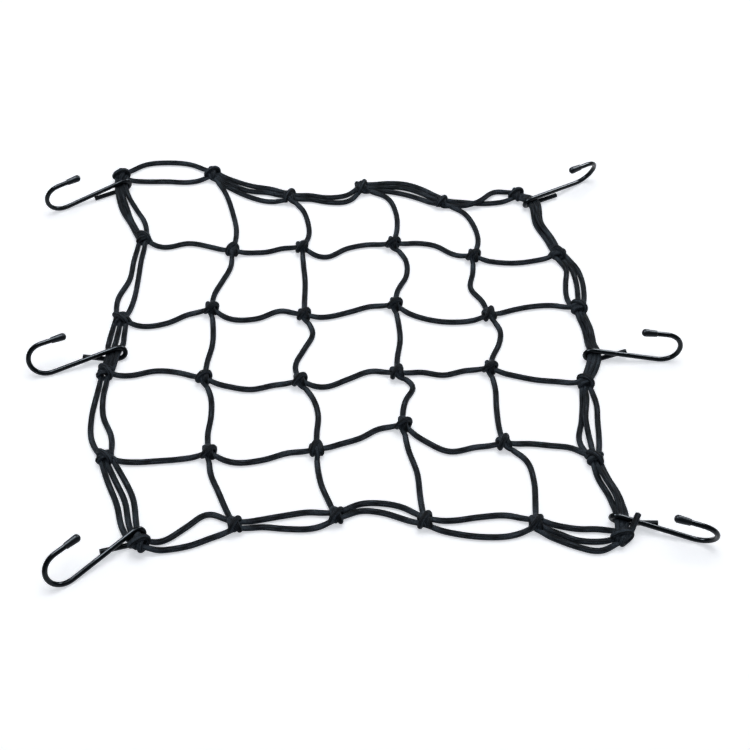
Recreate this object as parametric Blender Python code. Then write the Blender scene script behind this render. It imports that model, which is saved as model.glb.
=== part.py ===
"""A knotted bungee cargo net with six wire hooks, lying loose on a flat surface.

Units in the tables are millimetres; the model is in metres, +Z up, +X to the right,
+Y away from the viewer. The origin is the centre of the bounding box's base.

The net is one piece: round elastic cord tied in six rows of six knots. Inside the net
one cord joins each pair of knots; along the border two or three run side by side.
Each hook is one bent, coated wire: a long narrow eye that clasps the border cords,
a shank, and an open bend whose end carries a soft tip.
"""
import math

import bmesh
import bpy
from mathutils import Matrix, Vector

MM = 0.001

# Cord
CORD = 5.0              # across the round elastic cord
CORD_SIDES = 6          # a hexagon that lies on a flat side
CORD_EDGE = 0.866       # half the height of that hexagon, as a share of its half width
STRETCH = 20.0          # longest ring spacing on a curved cord
LOW = CORD / 2 * CORD_EDGE  # height of a lying cord's middle
SHIM = 0.04             # parts the lower sides of cords that lie at other levels

# Knots
PITCH = 80.0            # from knot to knot, cords slack
LEAN = 12.0             # how far right each row lies of the row beyond it
KNOT_HEIGHT = 5.2       # a knot's middle above the surface
KNOT_SIDES = 8
KNOT_VARY = 12.0        # degrees that knots differ by
KNOT_FLAT = 0.5         # what lies lower than this is pressed flat
SLIVERS = (0.3, 0.6, 1.0)  # edges this short are shrunk away in turn
MOST_FACES = 11700
SETTLE = 15.0           # from a knot's middle to where its cords lie down

# Hooks
WIRE = 4.5              # across the coated wire
WIRE_SIDES = 8
EYE_HEIGHT = 11.0       # between the wire's middles at the eye's round end
EYE_LENGTH = 38.0       # from the eye's round end to the wire's cut end
EYE_FLAT = 21.0         # of that, how much lies on the surface
TAIL = 4.85             # from the shank's middle to that of the cut end beside it
SHANK = 67.0            # from the eye's round end to the start of the bend
BEND_RADIUS = 14.9      # to the wire's middle
BEND_SWEEP = 183.0      # degrees
TIP_LEG = 20.5          # straight wire after the bend
TIP_LENGTH = 13.5
TIP_MOUTH = 5.8         # across the tip where the wire goes in
TIP_BALL = 6.8          # across the tip's round end
TIP_REACH = 3.4         # soft tip past the wire's end
GAP = 0.3               # between pieces that touch
SHARP = 60              # degrees; flatter edges are shaded smooth

# Cords in a hook's eye
EYE_HOLD = 4.2          # half the length at the eye's own height
EYE_REACH = 16.0        # from there to where its cords lie down
EYE_GRIP = 6.5          # half the squeezed length

# The middle of the bounding box, from the middle of the grid of knots
CENTRE = (-2.927, -3.295)

# How far above a knot's middle its cords run, so that no two meet edge to edge
ROW_LEVEL = -0.9
COLUMN_LEVEL = 0.7
BORDER_LEVELS = {
    "far": (-0.5, 0.3, -0.2), "left": (0.1, -0.4, 0.5),
    "near": (0.4, -0.3, 0.2), "right": (-0.1, 0.35, -0.45),
}

# Each knot's place, as its drift (right, away) from the leaning grid, far row first
KNOT_DRIFT = (
    ((-5, 24), (7, 28), (7, -7), (-1, 7), (-1, -14), (-6, -4)),
    ((15, 13), (23, -4), (10, 1), (18, 6), (15, -11), (17, -8)),
    ((-5, -13), (-3, 0), (3, -8), (7, 5), (14, -8), (17, 1)),
    ((-23, 2), (-15, -4), (-10, -7), (-4, 2), (-1, 8), (2, -9)),
    ((-23, -11), (-16, -6), (-5, -3), (-11, 24), (-6, 4), (-10, -12)),
    ((5, -18.5), (-1, 1), (1, 10), (-7, 5), (3, 3), (-9, -10)),
)
# How much higher a knot lies that rests on a hook's wire
KNOT_RAISED = {(5, 0): 4.0}

# How far each cord bows to its left at a quarter, half and three quarters of the way.
# Cords in rows run from left to right, so a positive bow is away from the viewer.
ROW_BOWS = (
    ((-5, 5, 4), (-1, -1, 3), (-12, -1, 3), (8, 9, 1), (-6, -8, -5)),
    ((-10, -9, -1), (-9, -6, 6), (-3, 0, 4), (-9, -12, -9), (6, 9, 8)),
    ((1, 8, 7), (-6, -9, -3), (-7, 0, 7), (2, -3, 1), (-2, -3, -1)),
    ((-4, -4, -3), (-9, -7, 0), (1, 1, 5), (-11, -17, -7), (6, 8, 9)),
)
# Cords in columns run from far to near, so a positive bow is to the right.
COLUMN_BOWS = (
    ((8, 10, 9), (3, 0, -3), (3, 4, 1), (5, 4, 0), (-4, -3, -2)),
    ((10, 12, 10), (1, 2, 1), (9, 2, -5), (8, 9, 4), (-3, -4, -2)),
    ((20, 20, 13), (12, 12, 3), (3, 4, 1), (13, 5, 1), (0, 3, 1)),
    ((16, 18, 14), (-4, -10, -2), (10, 9, 3), (2, 0, -1), (14, 13, 7)),
)

# Border cords, innermost first. Each has its bow to its left at the start, a quarter,
# half, three quarters and the end, and its height over the others at the middle three.
BORDER = {
    "far": (
        (((-3, -6, -7, -9, -3), (0, 0, 0)), ((3, 20, 22, 18, 3), (0, 0, 0))),
        (((-4, -9, -13, -13, -5), (0, 0, 0)), ((0, -4, -6, 0, 0), (0, 0, 0)),
         ((4, 2, 2, 6, 5), (0, 0, 0))),
        (((-3, -4, -12, -15, -3), (0, 0, 0)), ((3, 2, -5, -6, 3), (0, 0, 0))),
        (((-5, 3, 4, 1, -5), (0, 0, 0)), ((0, 9, 13, 9, 0), (0, 0, 0)),
         ((5, 15, 19, 15, 5), (0, 0, 0))),
        (((-3, -8, -6, 10, 3), (2, 5, 0)), ((3, 0, -5, -6, -3), (0, 0, 0))),
    ),
    "left": (
        (((5, 2, 3, 7, 4), (0, 0, 0)), ((0, -3, -5, -5, 0), (0, 0, 5)),
         ((-5, -9, -10, -6, -4), (0, 0, 0))),
        (((3, 3, 5, 6, 3), (0, 0, 0)), ((-3, -4, -3, -9, -5), (0, 0, 0))),
        (((5, 6, 8, 11, 5), (0, 0, 0)), ((0, 0, 1, 3, 0), (0, 0, 0)),
         ((-5, -6, -5, -4, -5), (0, 0, 0))),
        (((3, -2, -2, 5, 5), (0, 0, 0)), ((-3, -8, -12, -12, -3), (0, 0, 0))),
        (((5, 8, 9, 4, 3), (0, 0, 0)), ((0, 1, 2, -2, 0), (0, 0, 0)),
         ((-4, -5, -5, -8, -3), (0, 0, 0))),
    ),
    "near": (
        (((3, 2, 10, 18, 3), (0, 0, 0)), ((-3, -7, -8, -5, -3), (0, 0, 0))),
        (((3, 5, 7, 8, 3), (0, 0, 0)), ((-3, -2, -6, -8, -3), (0, 0, 0))),
        (((3, 15, 17, 14, 3), (0, 0, 0)), ((-3, 8, 8, 3, -3), (0, 0, 0))),
        (((3, 3, 7, 9, 3), (0, 0, 0)), ((-3, -9, -12, -11, -3), (0, 0, 0))),
        (((5, 3, 3, 6, 5), (0, 0, 0)), ((0, -4, -8, -6, 0), (0, 0, 0)),
         ((-5, -10, -14, -15, -4), (0, 0, 0))),
    ),
    "right": (
        (((-3, 7, 0, 0, -3), (0, 0, 0)), ((0, 10, 3, 3, 0), (4, 5, 5)),
         ((3, 13, 6, 6, 3), (0, 0, 0))),
        (((-5, 3, -2, -6, -5), (0, 0, 0)), ((0, 8, 8, 5, 0), (0, 0, 0)),
         ((5, 13, 14, 11, 5), (0, 0, 0))),
        (((-3, 4, 6, 4, -3), (0, 0, 0)), ((0, 7, 9, 7, 0), (5, 0, 5)),
         ((3, 10, 12, 10, 3), (0, 0, 0))),
        (((-3, -4, -7, -11, -3), (0, 0, 0)), ((0, -1, -4, -2, 0), (5, 5, 1)),
         ((3, 8, 7, 6, 3), (0, 0, 0))),
        (((-3, -2, 2, 0, -3), (0, 0, 0)), ((0, 2, 6, 4, 0), (5, 5, 3)),
         ((3, 6, 10, 7, 3), (0, 0, 0))),
    ),
}

# A short cut end of cord leaves the last knot and rests over a hook (x, y, height)
LOOSE_END = ((222, -213, 6.5), (227, -209, 10.5), (230.5, -203, 15.0), (234.5, -195, 16.4))

# Hooks: the middle of the wire at the eye's round end, where the shank heads, how far
# the hook's plane leans to the left of the heading (0 flat, 90 upright), where the cut
# end lies round the shank (0 left of it, 90 above), and the border span in the eye with
# its first cord's distance from the round end and the distance between its cords.
HOOKS = {
    # name: (x, y, heading, lean, tail, (side, span), first, pitch)
    "far_left": (-225, 211, -154, 88, -45, ("left", 0), 5.2, 4.2),
    "middle_left": (-201, -16, -164, 112, 180, ("left", 2), 7.0, 4.3),
    "near_left": (-162, -207.5, -143, 112, 180, ("left", 4), 5.2, 4.3),
    "far_right": (170.5, 181, 33, 106, -135, ("right", 0), 5.2, 4.1),
    "middle_right": (210.5, -19, 0, 84, 0, ("right", 2), 5.2, 3.8),
    "near_right": (214, -191, -16, 102, 0, ("right", 4), 5.2, 3.8),
}

# A knot's three turns of cord: places along it and the radius there
KNOT_TURNS = ((-7.8, 2.6), (-5.3, 5.4), (-2.7, 4.9), (0.0, 6.5), (2.7, 4.9), (5.3, 5.4),
              (7.8, 2.6))
# How much longer, wider and higher a knot is than an inner one
KNOT_SIZE = {"inner": (1.0, 1.0, 1.0), "border": (1.0, 1.2, 1.06), "corner": (1.05, 1.05, 1.04)}


def smooth(share):
    """Eases from 0 to 1 as share goes from 0 to 1."""
    share = min(max(share, 0.0), 1.0)
    return share * share * (3 - 2 * share)


def knot_middle(row, column):
    """The middle of a knot."""
    right, away = KNOT_DRIFT[row][column]
    x = (column - 2.5) * PITCH + (row - 2.5) * LEAN + right - CENTRE[0]
    y = (2.5 - row) * PITCH + away - CENTRE[1]
    return Vector((x, y, KNOT_HEIGHT + KNOT_RAISED.get((row, column), 0.0)))


class Curve:
    """A smooth curve through points, read by the length along it."""

    FINE = 12

    def __init__(self, points):
        self.points = []
        slopes = [self.slope(points, i) for i in range(len(points))]
        for i in range(len(points) - 1):
            chord = (points[i + 1] - points[i]).length
            for step in range(self.FINE + (i == len(points) - 2)):
                t = step / self.FINE
                self.points.append(
                    points[i] * (1 + 2 * t) * (1 - t) ** 2
                    + slopes[i] * chord * t * (1 - t) ** 2
                    + points[i + 1] * t * t * (3 - 2 * t)
                    + slopes[i + 1] * chord * t * t * (t - 1)
                )
        self.lengths = [0.0]
        for a, b in zip(self.points, self.points[1:]):
            self.lengths.append(self.lengths[-1] + (b - a).length)
        self.length = self.lengths[-1]

    @staticmethod
    def slope(points, i):
        """The curve's direction at a point, which follows the nearer neighbour more."""
        before = points[max(i - 1, 0)]
        after = points[min(i + 1, len(points) - 1)]
        back = points[i] - before
        ahead = after - points[i]
        if back.length == 0 or ahead.length == 0:
            return (after - before).normalized()
        return (back / back.length ** 2 + ahead / ahead.length ** 2).normalized()

    def at(self, length):
        """The point at a length along the curve, and the direction there."""
        i = 0
        while i < len(self.lengths) - 2 and self.lengths[i + 1] < length:
            i += 1
        a, b = self.points[i], self.points[i + 1]
        share = (length - self.lengths[i]) / (self.lengths[i + 1] - self.lengths[i])
        return a.lerp(b, share), (b - a).normalized()


def loft(mesh, rings, sides):
    """A closed tube through rings, each a matrix that places and sizes a unit circle."""
    flat_below = Matrix.Rotation(math.pi / sides, 4, "Z")
    first = bmesh.ops.create_circle(
        mesh, cap_ends=True, segments=sides, radius=1.0, matrix=rings[0] @ flat_below
    )
    loop = list({edge for vertex in first["verts"] for edge in vertex.link_edges})
    for previous, ring in zip(rings, rings[1:]):
        made = bmesh.ops.extrude_edge_only(mesh, edges=loop)["geom"]
        corners = [item for item in made if isinstance(item, bmesh.types.BMVert)]
        bmesh.ops.transform(mesh, matrix=ring @ previous.inverted(), verts=corners)
        loop = [
            item for item in made
            if isinstance(item, bmesh.types.BMEdge) and all(v in corners for v in item.verts)
        ]
    bmesh.ops.contextual_create(mesh, geom=loop)


def ring_matrix(place, across, up, width, height):
    """Places a unit circle with its width along across and its height along up."""
    turn = Matrix((across, up, across.cross(up))).transposed().to_4x4()
    size = Matrix.Diagonal((width, height, 1.0, 1.0))
    return Matrix.Translation(place) @ turn @ size


def finish_mesh(mesh, name):
    """Scales a mesh from millimetres and turns it into an object's mesh."""
    bmesh.ops.recalc_face_normals(mesh, faces=mesh.faces)
    bmesh.ops.scale(mesh, vec=(MM, MM, MM), verts=mesh.verts)
    data = bpy.data.meshes.new(name)
    mesh.to_mesh(data)
    mesh.free()
    data.shade_smooth()
    data.set_sharp_from_angle(angle=math.radians(SHARP))
    return data


def add_object(name, data, material):
    """Links a new object that shows a mesh in one material."""
    thing = bpy.data.objects.new(name, data)
    data.materials.append(material)
    bpy.context.scene.collection.objects.link(thing)
    return thing


def add_material(name, colour, roughness, coat=0.0):
    """A plain dark material."""
    material = bpy.data.materials.new(name)
    material.use_nodes = True
    shader = material.node_tree.nodes["Principled BSDF"]
    shader.inputs["Base Color"].default_value = (*colour, 1.0)
    shader.inputs["Roughness"].default_value = roughness
    shader.inputs["Metallic"].default_value = 0.0
    shader.inputs["Coat Weight"].default_value = coat
    return material


class Hook:
    """Where one hook's wire runs."""

    def __init__(self, x, y, heading, lean, tail, span, first, pitch):
        self.start = Vector((x - CENTRE[0], y - CENTRE[1], WIRE / 2))
        self.out = Matrix.Rotation(math.radians(heading), 3, "Z") @ Vector((1, 0, 0))
        self.left = Vector((-self.out.y, self.out.x, 0))
        self.rise = self.tilted(lean)
        self.tail = self.tilted(tail)
        self.span = span
        self.first = first
        self.pitch = pitch

    def tilted(self, angle):
        """A direction square to the heading, so far round from its left."""
        angle = math.radians(angle)
        return self.left * math.cos(angle) + Vector((0, 0, math.sin(angle)))

    def place(self, along, rise):
        return self.start + self.out * along + self.rise * rise

    def shank_rise(self, along):
        """How far the shank's middle is from the hook's lower line."""
        return EYE_HEIGHT * (SHANK - along) / (SHANK - EYE_HEIGHT / 2)

    def crossing(self, turn):
        """Where a cord's middle passes the eye, and half the height left for it."""
        along = self.first + self.pitch * turn
        half = self.shank_rise(along) / 2
        room = half - WIRE / 2 - GAP
        return self.place(along, half), min(LOW, room * self.rise.z)

    def wire(self):
        """The wire's middle line, from the eye's cut end to the end inside the tip."""
        radius = EYE_HEIGHT / 2
        cut = self.place(EYE_LENGTH, self.shank_rise(EYE_LENGTH)) + self.tail * TAIL
        line = [cut, self.place(EYE_FLAT, 0.0)]
        for step in range(7):
            turn = math.pi * step / 6
            ahead = radius * (1 - math.sin(turn))
            line.append(self.place(ahead, radius * (1 - math.cos(turn))))
        slope = math.atan2(EYE_HEIGHT, SHANK - radius)
        foot = self.place(SHANK, BEND_RADIUS * (1 - math.cos(slope)))
        down = (foot - line[-1]).normalized()
        up = (self.rise - down * self.rise.dot(down)).normalized()
        middle = foot + up * BEND_RADIUS
        for step in range(13):
            turn = math.radians(BEND_SWEEP) * step / 12
            line.append(middle + (down * math.sin(turn) - up * math.cos(turn)) * BEND_RADIUS)
        turn = math.radians(BEND_SWEEP)
        line.append(line[-1] + (down * math.cos(turn) + up * math.sin(turn)) * TIP_LEG)
        return line


def wire_frames(line):
    """The wire's direction and a direction across it at each point, without twist."""
    frames = []
    across = None
    for i, place in enumerate(line):
        before = line[max(i - 1, 0)]
        after = line[min(i + 1, len(line) - 1)]
        back = (place - before).normalized()
        ahead = (after - place).normalized()
        along = (back + ahead).normalized()
        if across is None:
            across = along.cross(Vector((0, 0, 1)))
        across = (across - along * across.dot(along)).normalized()
        frames.append((along, across))
    return frames


def make_hook(name, hook, material):
    """One bent wire."""
    line = hook.wire()
    rings = [
        ring_matrix(place, across, along.cross(across), WIRE / 2, WIRE / 2)
        for place, (along, across) in zip(line, wire_frames(line))
    ]
    mesh = bmesh.new()
    loft(mesh, rings, WIRE_SIDES)
    return add_object(name, finish_mesh(mesh, name), material)


def make_tip(name, hook, material):
    """A soft sleeve with a blind bore on the wire's end."""
    line = hook.wire()
    along, across = wire_frames(line)[-1]
    end = line[-1]
    mouth = TIP_REACH - TIP_LENGTH
    bore = WIRE / 2 + GAP
    profile = (
        (GAP, bore),
        (mouth, bore),
        (mouth, TIP_MOUTH / 2),
        (mouth / 3, TIP_BALL / 2 - 0.15),
        (TIP_REACH * 0.3, TIP_BALL / 2),
        (TIP_REACH * 0.8, TIP_BALL * 0.36),
        (TIP_REACH, TIP_BALL * 0.16),
    )
    rings = [
        ring_matrix(end + along * place, across, along.cross(across), radius, radius)
        for place, radius in profile
    ]
    mesh = bmesh.new()
    loft(mesh, rings, WIRE_SIDES)
    return add_object(name, finish_mesh(mesh, name), material)


def cord_height(length, whole, ends, lifts, eye, level):
    """The height of a cord's middle at a length along it."""
    low = LOW + (1 + level) * SHIM
    near_knot = 1 - smooth(min(length, whole - length) / SETTLE)
    knot_height = ends[length > whole / 2] + level
    height = low + (knot_height - low) * near_knot
    quarter = 4 * length / whole
    steps = (0.0, *lifts, 0.0)
    before = min(int(quarter), 3)
    lift = steps[before] + (steps[before + 1] - steps[before]) * smooth(quarter - before)
    height = max(height, low + lift)
    if eye:
        beyond = abs(length - eye["length"]) - EYE_HOLD
        height += (eye["place"].z - height) * (1 - smooth(beyond / EYE_REACH))
    return height


def ring_places(whole, curved, eye):
    """The lengths along a cord where it has a ring."""
    middle = whole - 2 * SETTLE
    count = max(1, math.ceil(middle / (STRETCH if curved else 2 * STRETCH)))
    places = [0.0, whole]
    places += [SETTLE + middle * step / count for step in range(count + 1)]
    if eye:
        grip = [eye["length"] + side * EYE_GRIP for side in (-1, 0, 1)]
        places = [p for p in places if p in (0.0, whole) or min(abs(p - g) for g in grip) > 5.5]
        places += [g for g in grip if 4.0 < g < whole - 4.0]
    return sorted(places)


def add_cord(mesh, start, end, bows, level, lifts=(0, 0, 0), eye=None):
    """One cord from knot to knot; its ends lie inside the knots."""
    first = Vector((start.x, start.y, 0))
    chord = Vector((end.x, end.y, 0)) - first
    left = Vector((-chord.y, chord.x, 0)).normalized()
    route = [(step / 4, first + chord * step / 4 + left * bow) for step, bow in enumerate(bows)]
    if eye:
        place = Vector((eye["place"].x, eye["place"].y, 0))
        share = (place - first).dot(chord) / chord.length_squared
        route = [item for item in route if abs(item[0] - share) > 0.1 or item[0] in (0, 1)]
        route.append((share, place))
        route.sort(key=lambda item: item[0])
    curve = Curve([place for _, place in route])
    if eye:
        spans = [(curve.at(length)[0] - place).length for length in curve.lengths]
        eye["length"] = curve.lengths[spans.index(min(spans))]
    curved = max(abs(bow) for bow in bows) > 3
    rings = []
    for length in ring_places(curve.length, curved, eye):
        place, along = curve.at(length)
        across = Vector((along.y, -along.x, 0)).normalized()
        place.z = cord_height(length, curve.length, (start.z, end.z), lifts, eye, level)
        height = CORD / 2
        if eye and abs(length - eye["length"]) < EYE_GRIP / 2:
            height = eye["height"] / CORD_EDGE
        rings.append(ring_matrix(place, across, Vector((0, 0, 1)), CORD / 2, height))
    loft(mesh, rings, CORD_SIDES)


def side_knots(side, span):
    """The knots at both ends of a border span."""
    return {
        "far": (knot_middle(0, span), knot_middle(0, span + 1)),
        "left": (knot_middle(span, 0), knot_middle(span + 1, 0)),
        "near": (knot_middle(5, span), knot_middle(5, span + 1)),
        "right": (knot_middle(span, 5), knot_middle(span + 1, 5)),
    }[side]


def add_border(mesh, hooks):
    """The two or three cords along each border span; some pass through a hook's eye."""
    held = {hook.span: hook for hook in hooks.values()}
    for side, spans in BORDER.items():
        for span, cords in enumerate(spans):
            start, end = side_knots(side, span)
            for turn, (bows, lifts) in enumerate(cords):
                eye = None
                if (side, span) in held:
                    hook = held[side, span]
                    place, height = hook.crossing(turn)
                    eye = {"place": place, "height": height}
                add_cord(mesh, start, end, bows, BORDER_LEVELS[side][turn], lifts, eye)


def add_inner_cords(mesh):
    """One cord between each pair of neighbours inside the net."""
    for row, spans in enumerate(ROW_BOWS, start=1):
        for column, bows in enumerate(spans):
            start, end = knot_middle(row, column), knot_middle(row, column + 1)
            add_cord(mesh, start, end, (0, *bows, 0), ROW_LEVEL)
    for column, spans in enumerate(COLUMN_BOWS, start=1):
        for row, bows in enumerate(spans):
            start, end = knot_middle(row, column), knot_middle(row + 1, column)
            add_cord(mesh, start, end, (0, *bows, 0), COLUMN_LEVEL)


def add_loose_end(mesh):
    """The cut end that leaves the near right knot."""
    points = [Vector((x - CENTRE[0], y - CENTRE[1], z)) for x, y, z in LOOSE_END]
    curve = Curve(points)
    rings = []
    for step in range(4):
        place, along = curve.at(curve.length * step / 3)
        across = along.cross(Vector((0, 0, 1))).normalized()
        rings.append(ring_matrix(place, across, across.cross(along), CORD / 2, CORD / 2))
    loft(mesh, rings, CORD_SIDES)


def add_knot(mesh, row, column):
    """Three turns of cord side by side, wound about a level axis and pressed flat below."""
    edges = (row in (0, 5)) + (column in (0, 5))
    kind = ("inner", "border", "corner")[edges]
    longer, wider, higher = KNOT_SIZE[kind]
    angle = {"inner": -42, "border": 90 * (column in (0, 5)), "corner": 40}[kind]
    if kind == "corner" and (row == 0) == (column == 0):
        angle = -angle
    angle = math.radians(angle + KNOT_VARY * math.sin(2.3 * row + 1.7 * column))
    along = Vector((math.cos(angle), math.sin(angle), 0))
    across = Vector((along.y, -along.x, 0))
    middle = knot_middle(row, column)
    first = len(mesh.verts)
    rings = [
        ring_matrix(middle + along * place * longer, across, Vector((0, 0, 1)), radius * wider,
                    radius * higher)
        for place, radius in KNOT_TURNS
    ]
    loft(mesh, rings, KNOT_SIDES)
    mesh.verts.ensure_lookup_table()
    for vertex in mesh.verts[first:]:
        if vertex.co.z < KNOT_FLAT:
            vertex.co.z = 0.0


def closes_well(edge, middle):
    """Whether an edge can shrink to a point with no face folding over."""
    a, b = edge.verts
    around_a = {e.other_vert(a) for e in a.link_edges}
    around_b = {e.other_vert(b) for e in b.link_edges}
    if len(around_a & around_b) != 2:
        return False
    for face in set(a.link_faces) ^ set(b.link_faces):
        corners = [middle if vertex in (a, b) else vertex.co for vertex in face.verts]
        turned = (corners[1] - corners[0]).cross(corners[2] - corners[0])
        if turned.length < 1e-12 or turned.normalized().dot(face.normal) < 0.5:
            return False
    return True


def drop_slivers(mesh):
    """Shrinks the shortest edges, left where cords meet knots, until the net is light."""
    bmesh.ops.triangulate(mesh, faces=mesh.faces)
    for longest in SLIVERS:
        for edge in sorted(mesh.edges, key=lambda item: item.calc_length()):
            if len(mesh.faces) <= MOST_FACES:
                return
            if not edge.is_valid or edge.calc_length() > longest * MM:
                continue
            middle = (edge.verts[0].co + edge.verts[1].co) / 2
            middle.z = min(vertex.co.z for vertex in edge.verts)
            if closes_well(edge, middle):
                bmesh.ops.pointmerge(mesh, verts=edge.verts, merge_co=middle)


def make_net(hooks, material):
    """Knots joined to cords as one piece."""
    cords = bmesh.new()
    add_inner_cords(cords)
    add_border(cords, hooks)
    add_loose_end(cords)
    helper = add_object("net_cords", finish_mesh(cords, "net_cords"), material)
    knots = bmesh.new()
    for row in range(6):
        for column in range(6):
            add_knot(knots, row, column)
    net = add_object("net", finish_mesh(knots, "net"), material)
    join = net.modifiers.new("tie", "BOOLEAN")
    join.operation = "UNION"
    join.solver = "EXACT"
    join.use_self = True
    join.object = helper
    joined = net.evaluated_get(bpy.context.evaluated_depsgraph_get())
    mesh = bmesh.new()
    mesh.from_mesh(joined.to_mesh())
    net.modifiers.clear()
    bpy.data.objects.remove(helper)
    drop_slivers(mesh)
    mesh.to_mesh(net.data)
    mesh.free()
    net.data.shade_smooth()
    net.data.set_sharp_from_angle(angle=math.radians(SHARP))
    return net


def main():
    for thing in list(bpy.data.objects):
        bpy.data.objects.remove(thing)
    cord = add_material("black_elastic_cord", (0.012, 0.012, 0.013), 0.75)
    coat = add_material("black_coated_wire", (0.010, 0.010, 0.011), 0.22, 0.5)
    rubber = add_material("black_soft_tip", (0.014, 0.014, 0.015), 0.45)
    hooks = {name: Hook(*row) for name, row in HOOKS.items()}
    make_net(hooks, cord)
    for name, hook in hooks.items():
        make_hook("hook_" + name, hook, coat)
        make_tip("tip_" + name, hook, rubber)


main()
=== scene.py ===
"""A knotted bungee cargo net with six wire hooks, dressed for a picture.

Lengths are written in millimetres and turned to metres by MM as the pieces are made.
+X is to the right, +Y away from the viewer and +Z up, with the surface at zero.

The net is laid from round elastic cord in a braided sheath. Each cord follows the same
route as the solid it stands for, and each knot is wound from turns of the same cord.
"""
import math

import bmesh
import bpy
from mathutils import Matrix, Vector


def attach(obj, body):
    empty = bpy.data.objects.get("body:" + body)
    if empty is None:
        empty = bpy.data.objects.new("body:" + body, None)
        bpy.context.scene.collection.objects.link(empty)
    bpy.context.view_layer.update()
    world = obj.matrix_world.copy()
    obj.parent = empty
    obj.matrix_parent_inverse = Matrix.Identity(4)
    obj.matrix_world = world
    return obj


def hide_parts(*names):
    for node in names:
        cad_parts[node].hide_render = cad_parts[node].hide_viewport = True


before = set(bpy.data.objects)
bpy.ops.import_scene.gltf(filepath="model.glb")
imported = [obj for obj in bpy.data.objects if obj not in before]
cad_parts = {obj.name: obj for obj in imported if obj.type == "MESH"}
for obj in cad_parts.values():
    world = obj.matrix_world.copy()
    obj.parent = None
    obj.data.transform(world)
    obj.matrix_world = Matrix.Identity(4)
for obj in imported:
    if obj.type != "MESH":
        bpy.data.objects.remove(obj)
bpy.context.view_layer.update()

MM = 0.001

# Cord
CORD = 5.2              # across the round elastic cord, its sheath's loose fibres included
CORD_SIDES = 12
CORD_STEP = 2.4         # between rings along a cord
KNOT_STEP = 1.5         # the same along a knot's turns and the loose end
LYING = CORD / 2        # height of a lying cord's middle
CORD_EASE = 2           # passes that ease a cord's bends
SETTLE = 15.0           # from a knot's middle to where its cords lie down

# Knots
PITCH = 80.0            # from knot to knot, cords slack
LEAN = 12.0             # how far right each row lies of the row beyond it
KNOT_HEIGHT = 5.2       # where the cords meet in a knot, above the surface
KNOT_CORD = 4.7         # across the cord where it is pulled tight
KNOT_WIDE = 4.2         # from a knot's middle to its cord's, across one held cord
BORDER_WIDE = 5.2       # the same, across two or three
KNOT_HIGH = 3.6         # the same, upwards
KNOT_REACH = 8.5        # from a knot's middle to where its own cord starts
KNOT_SINK = 0.3         # how far an inner cord sinks into the top of its knot's turns
TIGHT = 4.0             # from a knot's middle to where its cords start to swell again
SWELL = 12.0            # from there to their full size

# Hooks
WIRE = 4.5              # across the coated wire
WIRE_SIDES = 20
WIRE_STEP = 1.0         # between rings along the wire
WIRE_EASE = 6           # passes that round the corners between its runs
WIRE_SNIP = 0.35        # the bevel round its snipped end
EYE_HEIGHT = 11.0       # between the wire's middles at the eye's round end
EYE_LENGTH = 38.0       # from the eye's round end to the wire's cut end
EYE_FLAT = 12.0         # of that, how much lies on the surface
TAIL = 4.85             # from the shank's middle to that of the cut end next to it
SHANK = 67.0            # from the eye's round end to the start of the bend
BEND_RADIUS = 14.9      # to the wire's middle
BEND_SWEEP = 183.0      # degrees
EYE_STEPS = 16          # runs round the eye's end
BEND_STEPS = 32         # runs round the bend
TIP_LEG = 20.5          # straight wire after the bend
TIP_SIDES = 24
TIP_LENGTH = 13.5
TIP_MOUTH = 5.8         # across the tip where the wire goes in
TIP_BALL = 6.8          # across the tip's round end
TIP_LIP = 0.25          # the rounding of its mouth
TIP_HOLLOW = 1.5        # how deep its mouth can be seen into, round the wire
TIP_REACH = 3.4         # soft tip past the wire's end

# Cords in a hook's eye
EYE_HOLD = 4.2          # half the length at the eye's own height
EYE_REACH = 16.0        # from there to where its cords lie down
EYE_GRIP = 6.5          # half the squeezed length
EYE_PLAY = 0.1          # between a cord and the wire over and under it

# Surfaces
YARNS = 8               # of the braid that slant each way
YARN_CROSSING = 1.9     # along the cord, from one crossing of two yarns to the next
PAINTED_GLINT_FLECKS = 0.9      # painted glints: flecks to a millimetre, where loose fibres catch the light
PAINTED_SHEEN_STREAK = 20.0           # along the cord, for its painted sheen to change
COAT_WAVE = 6.25        # from wave to wave of the dipped coat
SLEEVE_GRAIN = 1.4      # marks to a millimetre, left by the mould

# Camera, which looks down at a point on the board (from the middle of the grid of knots)
CAMERA_AIM = (22.6, -35.5)
CAMERA_AWAY = 1160.714  # from that point
CAMERA_SLOPE = 50       # degrees over the board
CAMERA_LENS = 62.4      # before a 36 mm wide sensor

# Room, in metres
BOARD_HALF = 4.0        # half the white board's side
BOARD_DROP = 0.0002     # how far the board lies under the net
WALL_RADIUS = 3.6
OVERHEAD = ((0.1, 0.35, 2.4), 1.6, 25.0)    # a lamp's place, its side and its watts
SIDE_LAMPS = {
    "left": ((-0.8, 0.32, 1.5), 0.6, 42.0),
    "right": ((1.0, 1.2, 1.2), 0.6, 42.0),
}

# The middle of the bounding box, from the middle of the grid of knots
CENTRE = (-2.927, -3.295)

# Each knot's place, as its drift (right, away) from the leaning grid, far row first
KNOT_DRIFT = (
    ((-5, 24), (7, 28), (7, -7), (-1, 7), (-1, -14), (-6, -4)),
    ((15, 13), (23, -4), (10, 1), (18, 6), (15, -11), (17, -8)),
    ((-5, -13), (-3, 0), (3, -8), (7, 5), (14, -8), (17, 1)),
    ((-23, 2), (-15, -4), (-10, -7), (-4, 2), (-1, 8), (2, -9)),
    ((-23, -11), (-16, -6), (-5, -3), (-11, 24), (-6, 4), (-10, -12)),
    ((5, -18.5), (-1, 1), (1, 10), (-7, 5), (3, 3), (-9, -10)),
)
# How much higher a knot lies that rests on a hook's wire
KNOT_RAISED = {(5, 0): 4.0}

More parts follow.
